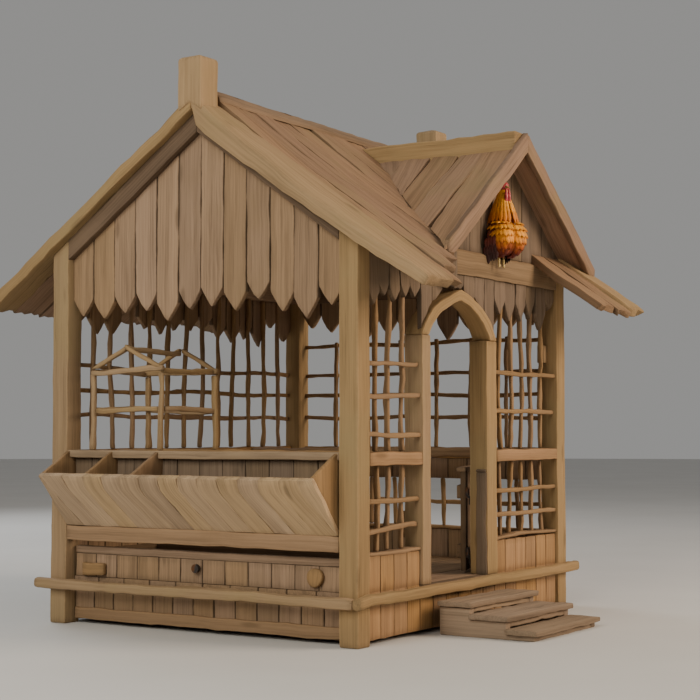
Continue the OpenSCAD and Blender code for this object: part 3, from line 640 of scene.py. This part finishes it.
FOOT_RAIL_T = 0.016        # thickness of the rail along the plinth's foot
FOOT_RAIL_H = 0.05         # its height
FOOT_RAIL_SHORT = 0.01     # how much shorter than the plinth it is
FOOT_RAIL_SUNK = 0.003     # how far it is let into the boards
plinth_low, plinth_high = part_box("plinth_boards_left")
foot_rail = start_from(bpy.ops.mesh.primitive_cube_add, "plinth_foot_rail", size=1.0)
all_of(foot_rail, bpy.ops.transform.resize,
       value=(FOOT_RAIL_T, plinth_high.y - plinth_low.y - FOOT_RAIL_SHORT, FOOT_RAIL_H))
all_of(foot_rail, bpy.ops.transform.translate,
       value=(plinth_low.x - FOOT_RAIL_T / 2 + FOOT_RAIL_SUNK, (plinth_low.y + plinth_high.y) / 2,
              plinth_low.z + FOOT_RAIL_H / 2))
hew(foot_rail, rail_wood, soften=0.004, steps=(0, 0.05, 0), lump=0.003)
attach(foot_rail, body_of("plinth_boards_left"))

# ---- walls ----

jamb_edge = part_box("door_jambs")[0].x

hewn("window_rails", door_side_wood, soften=TIMBER_ROUND, lump=0.002)
for sticks in ("lattice_front_left", "lattice_front_right", "lattice_back", "lattice_right"):
    hewn(sticks, rail_wood, soften=STICK_ROUND, bow=0.014, lump=0.004, smooth=60)
valance_low, valance_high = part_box("valance_front")
TIP_LIFT = 0.115           # how much shorter the valance is on the trough side of the door


def lift_tips(points):
    """The valance boards left of the door are shorter than those right of it"""
    for point in points:
        if point[0] < jamb_edge:
            point[2] += TIP_LIFT * (valance_high.z - point[2]) / (valance_high.z - valance_low.z)


hewn("valance_front", grey_wood, steps=(0.02, 0, 0.04), bow=0.004, lump=0.003, ragged=0.035,
     lean=1.2, slip=0.06, keep_end=1, sharpen=0.015, along=UPRIGHT, shape=lift_tips)
hewn("valance_back", board_wood, steps=(0.025, 0, 0.04), bow=0.004, lump=0.003, ragged=0.03, lean=0.8,
     slip=0.06, keep_end=1, along=UPRIGHT)
for gable in ("gable_boards_left", "gable_boards_right"):
    hewn(gable, board_wood, steps=(0, 0.02, 0.04), bow=0.003, lump=0.0018, ragged=0.022, slip=0.035,
         keep_end=1, sharpen=0.026, along=UPRIGHT)

# ---- roof ----

hewn("wall_plate_front", beam_wood, soften=TIMBER_ROUND, steps=(CUT, 0, 0.05), lump=0.002,
     along=LEVEL)
hewn("wall_plate_back", board_wood, soften=TIMBER_ROUND, steps=(CUT, 0, 0.05), lump=0.002)
hewn("ridge_beam", inner_wood, steps=(0.08, 0, 0))
hewn("purlins", inner_wood, steps=(0.08, 0, 0))
hewn("gable_frames", inner_wood, steps=(0, CUT, 0), lump=0.0015)
post_low, post_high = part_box("post_front_left")
verge_low, verge_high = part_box("verge_planks")
ROOF_SLOPE = math.radians(35)
VERGE_SAG = 0.045          # how far the heavy front left verge hangs below its straight line
VERGE_LEAN = 0.05          # how far its eave end stands out from the gable
VERGE_T = 0.05             # thickness of a verge plank
VERGE_FADE = 0.06          # across this much of its width the sag fades out
SAG_END = 1.08             # the sag is nil just past the eave, at this share of the run
VERGE_CHEEK = 0.055        # how much deeper its lower edge is under the ridge
CHEEK_RUN = 0.5            # how far down the slope that fades out
RIDGE_LIFT = 0.04          # how much the ridge rises towards the trough gable
LIFT_RUN = 0.4             # how far down both slopes the rise fades out
LIFT_FAR = 0.35            # the share of the rise that the far gable gets
roof_rise = math.tan(ROOF_SLOPE)
verge_run = -verge_low.y - VERGE_T * math.sin(ROOF_SLOPE)


def lift_ridge(points):
    """The ridge, its cap and the planks' upper ends rise towards the trough gable"""
    for point in points:
        near = max(0.0, 1 - abs(point[1]) / LIFT_RUN)
        far_left = (verge_high.x - point[0]) / (verge_high.x - verge_low.x)
        point[2] += RIDGE_LIFT * near * (LIFT_FAR + (1 - LIFT_FAR) * far_left)


def hang_verge(points):
    """The verge over the trough gable's front half leans out and hangs over the rafter"""
    for point in points:
        if point[0] < post_high.x and point[1] < -0.02:
            share = min(1.0, -point[1] / -verge_low.y)
            outer = max(0.0, min(1.0, (post_low.x + 0.02 - point[0]) / VERGE_FADE))
            underside = verge_low.z + (verge_run + point[1]) * roof_rise
            if point[2] < underside + VERGE_T / 2:
                point[2] -= VERGE_CHEEK * max(0.0, 1 - share / CHEEK_RUN)
            point[2] -= VERGE_SAG * outer * math.sin(math.pi * min(1.0, share * SAG_END)) ** 0.8
            point[0] -= VERGE_LEAN * share ** 2


hewn("verge_planks", post_wood, soften=TIMBER_ROUND, steps=(0.03, 0.05, 0), bow=0.006, lump=0.004,
     ragged=0.035, shape=hang_verge)
hewn("roof_planks_front", roof_wood, steps=(0.025, 0.05, 0), bow=0.008, lump=0.004, ragged=0.05,
     lean=0.6, shape=lift_ridge)
hewn("roof_planks_back", roof_wood, steps=(0.03, 0.05, 0), bow=0.006, lump=0.003, ragged=0.035,
     lean=0.5, shape=lift_ridge)
hewn("ridge_cap", beam_wood, steps=(0.05, 0, 0), bow=0.003, lump=0.003, shape=lift_ridge)
FINIAL_FOOT = 0.035        # how far a finial's foot reaches down over the verge
FINIAL_FOOT_H = 0.06       # height of the part that reaches down
FINIAL_SPREAD = 0.09       # how much stouter than its seat a finial is
finial_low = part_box("finials")[0]


def seat_finials(points):
    """Both ridge posts are a little stouter than their seats and reach over the verge"""
    for point in points:
        middle = finial_low.x - finial_low.y if point[0] < 0 else 0.0
        if point[0] < 0:
            point[0] += (point[0] - middle) * FINIAL_SPREAD
        point[1] *= 1 + FINIAL_SPREAD
        if point[2] < finial_low.z + FINIAL_FOOT_H:
            point[2] -= FINIAL_FOOT


hewn("finials", post_wood, soften=0.013, bow=0.002, lump=0.002, along=UPRIGHT, shape=seat_finials)

# ---- dormer ----

beam_low, beam_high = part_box("dormer_ridge_beam")
BEAM_SPREAD = 0.75         # how much wider than its seat the log is at its front end
BEAM_BACK = 0.45           # the share of that at its back end


def log_shape(points):
    """The dormer's ridge log is thicker towards its front end and overhangs the planks"""
    middle = (beam_low.x + beam_high.x) / 2
    for point in points:
        share = (beam_high.y - point[1]) / (beam_high.y - beam_low.y)
        point[0] += (point[0] - middle) * BEAM_SPREAD * (BEAM_BACK + (1 - BEAM_BACK) * share)


hewn("dormer_ridge_beam", post_wood, soften=0.012, steps=(0, 0.06, 0.02), bow=0.006, lump=0.004,
     shape=log_shape)
hewn("dormer_planks", roof_wood, steps=(0.05, 0.025, 0), bow=0.008, lump=0.004, ragged=0.045,
     lean=2.0)
hewn("dormer_barge_boards", roof_wood, soften=0.006, steps=(0.05, 0, 0), bow=0.005, lump=0.003,
     ragged=0.015)
hewn("dormer_gable_boards", grey_wood, steps=(0.04, 0, CUT), bow=0.0015, lump=0.001,
     along=UPRIGHT)

# ---- door frame and half door ----

jambs = hewn("door_jambs", post_wood, soften=0.005, bow=0.003, lump=0.002, along=UPRIGHT)
# the low door stop is given the dark grey wood: painted shade on its face, as if it were recessed in
# shadow
jambs.data.materials.append(grey_wood)
STOP_TOP = 0.9             # the low door stop ends below this height
own_board = board_numbers(jambs)
heights = points_of(jambs)[:, 2]
board_top = np.array([heights[own_board == board].max() for board in range(own_board.max() + 1)])
for face in jambs.data.polygons:
    if board_top[own_board[face.vertices[0]]] < STOP_TOP:
        face.material_index = 1
arch_low, arch_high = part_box("door_arch")
ARCH_OUTER = 0.365         # radius of the arch's outer edge
ARCH_BLUNT = 0.022         # how much lower its shoulders are, which leaves a point
ARCH_LEAN = 0.016          # how far its top leans towards the far side
arch_middle = np.array([(arch_low.x + arch_high.x) / 2, 0.0, arch_high.z - ARCH_OUTER])


def arch_point(points):
    """Draws the top of the arch up to a blunt point that leans a little"""
    for point in points:
        rise = (point[2] - arch_low.z) / (arch_high.z - arch_low.z)
        off = abs(point[0] - arch_middle[0]) / (arch_high.x - arch_low.x) * 2
        point[2] -= ARCH_BLUNT * math.sin(math.pi * min(1.0, off)) * rise
        point[0] += ARCH_LEAN * rise ** 2
        point[1] += 0.002 * soft_noise(point[0] * 9, point[2] * 9, 0, 2)


hewn("door_arch", post_wood, soften=TIMBER_ROUND, steps=(0.04, 0.03, 0.04), bow=0.0, lump=0.0025,
     ring=arch_middle, shape=arch_point)
hewn("door_boards", inner_wood, bow=0.0, lump=0.0006)
hewn("door_ledges", board_wood, bow=0.0, lump=0.0008)
hewn("door_button", rail_wood, soften=0.002, steps=(0.02, 0, 0.02), bow=0.0, lump=0.0008)
for part in ("door_straps", "door_pintles", "door_button_screw", "tray_knob"):
    frame["nodes"][part].data.materials.clear()
    frame["nodes"][part].data.materials.append(iron)

# ---- trough, cage and perches ----

hewn("trough_rail", trough_wood, soften=TIMBER_ROUND, lump=0.002)
hewn("trough_beam", rail_wood, soften=TIMBER_ROUND, lump=0.002)
trough_low, trough_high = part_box("trough_front")
KINK_HEIGHT = 0.075        # the slanting boards bend this far below the trough's rim
KINK = 0.06                # how far their tops lean back
KINK_FADE = 0.16           # the bend fades out towards both ends


def kink_boards(points):
    """The slanting boards bend back near the rim"""
    for point in points:
        up = max(0.0, (point[2] - trough_high.z + KINK_HEIGHT) / KINK_HEIGHT)
        to_end = min(point[1] - trough_low.y, trough_high.y - point[1])
        point[1] -= KINK * up ** 1.3 * max(0.0, min(1.0, to_end / KINK_FADE))


hewn("trough_front", trough_wood, steps=(0.04, 0.025, 0.025), bow=0.0015, lump=0.002,
     shape=kink_boards)
hewn("trough_ends", rail_wood, steps=(0.04, 0, 0.04), bow=0.006, lump=0.003)
hewn("trough_back", grey_wood, along=UPRIGHT)
hewn("feeder_cage", post_wood, soften=STICK_ROUND, bow=0.016, lump=0.004, smooth=60)
hewn("roost_perches", rail_wood, soften=0.012, bow=0.005, lump=0.003, smooth=60)

# ---- litter tray ----

hewn("tray_front", board_wood, steps=(0, 0.035, 0.03), bow=0.0012, lump=0.0012, along=UPRIGHT)
hewn("tray_box", inner_wood, bow=0.0, lump=0.0006)
hewn("tray_pulls", rail_wood, soften=0.008, steps=(0, 0.02, 0.02), rounding=3, bow=0.0,
     lump=0.004)

# ---- steps ----

hewn("step_stringers", step_wood, soften=0.004, steps=(0, CUT, CUT), bow=0.001)
hewn("step_boards", step_wood, soften=0.005, steps=(0.035, 0.03, 0), bow=0.003, lump=0.003,
     ragged=0.012, along=LEVEL)

# ---- rooster ----

TIP_SHADE = 0.02           # height of a feather's dark tip
RUFFLE = 0.016             # how far up or down its neighbours' colour a feather may be


def plumage(name, colours, heights, tip=0.55):
    """Feather paint: it changes with height, and each feather has fine barbs and is
    darker at its tip"""
    finish = Finish(name, roughness=0.5, specular_ior_level=0.28)
    place = finish.attribute("grain")
    tone = finish.attribute("tone", "Fac")
    ruffle = finish.maths("MULTIPLY", finish.maths("SUBTRACT", tone, 0.5), RUFFLE)
    ruffled = finish.maths("ADD", finish.level(finish.place()), ruffle)
    level_share = finish.between(ruffled, heights[0], heights[-1])
    spread = heights[-1] - heights[0]
    stops = [((level - heights[0]) / spread, colour) for level, colour in zip(heights, colours)]
    colour = finish.ramp(level_share, *stops)
    barbs = finish.noise(finish.stretched(place, (900.0, 60.0, 900.0)), detail=2.0)
    colour = finish.mixed(finish.between(barbs, 0.42, 0.62, 0.0, 0.3), colour, colours[0])
    at_tip = finish.between(finish.level(place), -0.02, -0.006, tip, 0.0)
    colour = finish.mixed(at_tip, colour, shade_of(colours[0], 0.9))
    colour = finish.add("HueSaturation", {
        "Color": colour, "Value": finish.between(tone, 0.0, 1.0, 0.82, 1.14)}).outputs[0]
    finish.wire("Base Color", colour)
    finish.bump(barbs, 0.35, 0.0012)
    return finish.material


def rooster_skin(name, colour, pale):
    """Comb, wattle, beak and leg paint, mottled and finely pimpled"""
    finish = Finish(name, roughness=0.38, specular_ior_level=0.5)
    spot = finish.place()
    mottle = finish.noise(spot, scale=70.0, detail=4.0)
    finish.wire("Base Color", finish.ramp(mottle, (0.36, shade_of(colour, 0.55)), (0.5, colour),
                                          (0.66, pale)))
    finish.bump(finish.noise(spot, scale=420.0, detail=2.0), 0.3, 0.0015)
    return finish.material


breast_paint = plumage("breast_paint", ((0.12, 0.012, 0.005), (0.44, 0.1, 0.008), (0.86, 0.33, 0.018),
                                        (0.92, 0.42, 0.035)), (1.615, 1.642, 1.69, 1.79), tip=0.3)
hackle_paint = plumage("hackle_paint", ((0.66, 0.2, 0.01), (0.86, 0.36, 0.02), (0.92, 0.45, 0.04)),
                       (1.78, 1.82, 1.9), tip=0.2)
wing_paint = plumage("wing_paint", ((0.035, 0.012, 0.01), (0.12, 0.022, 0.012), (0.2, 0.05, 0.02)),
                     (1.6, 1.68, 1.8))
comb_red = rooster_skin("comb_red", (0.5, 0.035, 0.045), (0.72, 0.14, 0.14))
horn_yellow = rooster_skin("horn_yellow", (0.58, 0.4, 0.13), (0.72, 0.58, 0.28))
eye_black = rooster_skin("eye_black", (0.012, 0.009, 0.008), (0.03, 0.02, 0.015))

body_low, body_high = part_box("rooster_body")
comb_low, comb_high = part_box("rooster_comb")
BREAST_R = 0.082
CREASE_W = 0.011           # width of the crease between the breast's two lobes
CREASE_D = 0.012           # and its depth
LOBE_SIZE = (0.05, 0.066, 0.08)
FEATHER_ROWS = 8
FEATHERS_A_ROW = 8
FEATHER_TILT = 0.1         # how far a breast feather stands off
EYE_R = 0.0045
BEAK_LENGTH = 0.03
WATTLE_H = 0.034           # half of a wattle's height
LEG_R = 0.0048
LEG_H = 0.034              # half of a leg's height
LEG_RINGS = 1400           # how close the rings on a leg are
TOE_TURNS = (-32, 0, 32)
FACING = math.radians(-24)      # the breast turns a little towards the trough gable
ahead = np.array([math.sin(FACING), -math.cos(FACING), 0.0])
aside = np.array([math.cos(FACING), math.sin(FACING), 0.0])
board_face = body_high.y
breast = Vector(((comb_low.x + comb_high.x) / 2 - 0.022, board_face - 0.062, 1.702))
head = Vector((breast.x, board_face - 0.055, 1.925))


def painted(piece, material):
    """Ends the making of a rooster piece: its paint and its attributes"""
    piece.data.materials.clear()
    piece.data.materials.append(material)
    only(piece)
    bpy.ops.object.shade_smooth()
    if "grain" not in piece.data.attributes:
        points = points_of(piece)
        set_attribute(piece, "grain", "FLOAT_VECTOR", points - points.mean(0))
        set_attribute(piece, "tone", "FLOAT", np.full(len(points), 0.5))
    return piece


def rounded_lump(name, centre, size, segments=28, rings=18):
    """An egg-shaped body, made from a ball drawn out along X, Y and Z"""
    piece = start_from(bpy.ops.mesh.primitive_uv_sphere_add, name, segments=segments,
                       ring_count=rings, radius=1.0)
    all_of(piece, bpy.ops.transform.resize, value=size)
    all_of(piece, bpy.ops.transform.translate, value=centre)
    return piece


def feather_pattern(length, width):
    """One feather: a thin shield that hangs from the origin, its tip down along -Z and
    its crowned face towards -Y, with a quill line pressed along its middle"""
    feather = start_from(bpy.ops.mesh.primitive_uv_sphere_add, "feather", segments=10,
                         ring_count=8, radius=0.5)
    all_of(feather, bpy.ops.transform.resize, value=(width, width * 0.3, length))
    all_of(feather, bpy.ops.transform.translate, value=(0, 0, -length / 2))
    points = points_of(feather)
    for point in points:
        share = -point[2] / length
        point[0] *= 0.62 + 0.62 * math.sin(math.pi * min(1.0, share + 0.12)) ** 0.8
        point[1] -= 0.1 * width * math.cos(math.pi * point[0] / width) - 0.16 * width * share ** 2
        if abs(point[0]) < 0.06 * width:
            point[1] += 0.05 * width
    put_points(feather, points)
    return feather


def dress(name, pattern, spots, material):
    """Copies one feather to many spots and joins them. A spot is where its root is,
    the way its tip hangs, the way its face looks, and its size"""
    dice = random.Random(len(name) * 17 + len(spots))
    shape = points_of(pattern)
    feathers = []
    for root, down, out, size in spots:
        feather = pattern.copy()
        feather.data = pattern.data.copy()
        bpy.context.scene.collection.objects.link(feather)
        z_axis = -down.normalized()
        y_axis = -(out - out.dot(z_axis) * z_axis).normalized()
        x_axis = y_axis.cross(z_axis)
        turned = np.array([x_axis, y_axis, z_axis])
        own = shape * size
        put_points(feather, own @ turned + np.array(root))
        tip = np.array([0, 0, own[:, 2].min() + TIP_SHADE * size])
        set_attribute(feather, "grain", "FLOAT_VECTOR", own - tip)
        set_attribute(feather, "tone", "FLOAT", np.full(len(own), dice.random()))
        feathers.append(feather)
    piece = join_all(feathers)
    piece.name = piece.data.name = name
    bpy.data.objects.remove(pattern)
    return painted(piece, material)


def lobe_spots(centre, low_turn, high_turn):
    """Spots for overlapping rows of feathers on the outer side of a lobe of the breast.
    Turns are measured from the way the breast faces"""
    spots = []
    for row in range(FEATHER_ROWS):
        level = math.radians(66 - 140 * row / (FEATHER_ROWS - 1))
        count = max(4, round(FEATHERS_A_ROW * math.cos(level) ** 0.7))
        for i in range(count + row % 2):
            share = (i + (0.5 if row % 2 == 0 else 0.0)) / count
            turn = FACING + low_turn + (high_turn - low_turn) * share
            normal = Vector((math.sin(turn) * math.cos(level), -math.cos(turn) * math.cos(level),
                             math.sin(level)))
            root = centre + Vector([normal[k] * LOBE_SIZE[k] for k in range(3)]) * 0.97
            if root.y > board_face - 0.012:
                continue
            down = Vector((0, 0, -1)) - Vector((0, 0, -1)).dot(normal) * normal
            down = down.normalized() + normal * FEATHER_TILT
            spots.append((root, down, normal, random.uniform(0.9, 1.1)))
    return spots


rooster_pieces = []

# breast: two lobes with a crease between them
core = rounded_lump("rooster_breast", breast,
                    (BREAST_R * 0.9, BREAST_R * 0.82, BREAST_R * 0.98), 40, 28)
points = points_of(core)
for point in points:
    out = point - np.array(breast)
    crease = math.exp(-(out @ aside / CREASE_W) ** 2) * max(0.0, out @ ahead) / BREAST_R
    point -= ahead * CREASE_D * crease
    point[1] = min(point[1], board_face)
put_points(core, points)
rooster_pieces.append(painted(core, breast_paint))
for side, hand in SIDES:
    lobe = breast + Vector(aside) * side * 0.032 + Vector(ahead) * 0.006
    spots = lobe_spots(lobe, side * math.radians(-18), side * math.radians(95))
    rooster_pieces.append(dress("breast_feathers_" + hand, feather_pattern(0.042, 0.024), spots,
                                breast_paint))

# wings lie against the boards on both sides of the breast
for side, hand in SIDES:
    spots = []
    for row in range(5):
        for i in range(4 + row):
            outward = 0.052 + 0.01 * (3 - abs(row - 2)) + 0.004 * i
            root = Vector((breast.x + side * outward,
                           board_face - 0.014 - 0.011 * (4 - abs(i - 2)),
                           breast.z + 0.075 - 0.032 * row - 0.004 * i))
            down = Vector((side * 0.18 - side * 0.09 * row, 0.12, -1))
            spots.append((root, down, Vector((side, -0.7, 0.1)), random.uniform(0.72, 0.9)))
    rooster_pieces.append(dress("wing_" + hand, feather_pattern(0.058, 0.022), spots, wing_paint))

# neck and hackle: long feathers in two locks that hang from the head over the breast
neck = rounded_lump("rooster_neck", (breast + head) / 2 + Vector((0, 0, 0.01)),
                    (0.034, 0.034, 0.095))
rooster_pieces.append(painted(neck, hackle_paint))
for side, hand in SIDES:
    spots = []
    for row in range(6):
        for i in range(7):
            turn = FACING + side * math.radians(14 + 17 * i)
            out = Vector((math.sin(turn), -math.cos(turn), 0.0))
            width = 0.018 + 0.0075 * row
            root = head + out * width + Vector((0, 0, -0.006 - 0.02 * row))
            if root.y < board_face - 0.008:
                spots.append((root, Vector((out.x * 0.3, out.y * 0.3, -1)), out,
                              random.uniform(0.85, 1.05) * (0.7 + 0.07 * row)))
    rooster_pieces.append(dress("hackle_" + hand, feather_pattern(0.06, 0.017), spots,
                                hackle_paint))

# head with its eyes, beak, wattles and comb


def on_head(side, sideways, forward, up):
    """A place on the head, measured along the way that the rooster faces"""
    return head + Vector(aside) * side * sideways + Vector(ahead) * forward + Vector((0, 0, up))


skull = rounded_lump("rooster_head", head + Vector((0, 0, 0.008)), (0.024, 0.028, 0.025), 24, 16)
rooster_pieces.append(painted(skull, comb_red))
for side, hand in SIDES:
    eye = rounded_lump("eye_" + hand, on_head(side, 0.021, 0.012, 0.014), (EYE_R,) * 3, 16, 12)
    rooster_pieces.append(painted(eye, eye_black))

beak = start_from(bpy.ops.mesh.primitive_cone_add, "rooster_beak", vertices=20, radius1=0.0085,
                  radius2=0.001, depth=BEAK_LENGTH)
finish_modifier(beak, "BEVEL", width=0.0012, segments=2)
points = points_of(beak)
for point in points:
    share = (point[2] + BEAK_LENGTH / 2) / BEAK_LENGTH
    hook = np.array([0, 0, 0.006 - 0.008 * share ** 2])
    reach = np.array(head) + ahead * (0.022 + share * 0.026) + hook
    point[:] = reach + aside * point[0] + np.array([0, 0, point[1]])
put_points(beak, points)
all_of(beak, bpy.ops.mesh.normals_make_consistent, inside=False)
rooster_pieces.append(painted(beak, horn_yellow))

for side, hand in SIDES:
    place = on_head(side, 0.008, 0.033, -0.036)
    wattle = rounded_lump("wattle_" + hand, place, (0.009, 0.008, WATTLE_H), 20, 16)
    points = points_of(wattle)
    for point in points:
        drop = (place.z - point[2]) / WATTLE_H
        point[:2] = np.array(place)[:2] + (point[:2] - np.array(place)[:2]) * (1 + 0.35 * drop)
        point[:] += 0.0012 * soft_noise(point[0] * 130, point[1] * 130, point[2] * 130, 6)
    put_points(wattle, points)
    rooster_pieces.append(painted(wattle, comb_red))

comb = copy_of("rooster_comb", "comb_points")
cut_by_planes(comb, (0.006, 0, 0.008))
finish_modifier(comb, "BEVEL", width=0.0035, segments=3, limit_method="ANGLE",
                angle_limit=math.radians(40))
points = points_of(comb)
for point in points:
    rise = (point[2] - comb_low.z) / (comb_high.z - comb_low.z)
    point[0] = breast.x + (point[0] - (comb_low.x + comb_high.x) / 2) * (0.5 + 0.4 * rise)
    point[1] += 0.002 * soft_noise(point[0] * 90, 0, point[2] * 90, 4)
    point[2] += 0.012 * rise
put_points(comb, points)
painted(comb, comb_red)
stand_for(comb, "rooster_comb")

# legs that reach down over the beam, with three toes
for side, hand in SIDES:
    place = Vector((breast.x + side * 0.022, board_face - 0.045, body_low.z + LEG_H))
    leg = rounded_lump("leg_" + hand, place, (LEG_R, LEG_R, LEG_H), 16, 20)
    points = points_of(leg)
    for point in points:
        rings = 0.0006 * math.sin(point[2] * LEG_RINGS)
        point[:2] += (point[:2] - np.array(place)[:2]) * rings / LEG_R
    put_points(leg, points)
    toes = []
    for turn in TOE_TURNS:
        way = Vector((math.sin(math.radians(turn)), -0.35, -0.9 * math.cos(math.radians(turn))))
        start = place + Vector((0, -0.001, -0.022))
        toes.append(rounded_lump("toe", start + way * 0.006, (0.003, 0.003, 0.008), 12, 10))
    rooster_pieces.append(painted(join_all([leg, *toes]), horn_yellow))

for piece in rooster_pieces:
    stand_for(piece, "rooster_body")
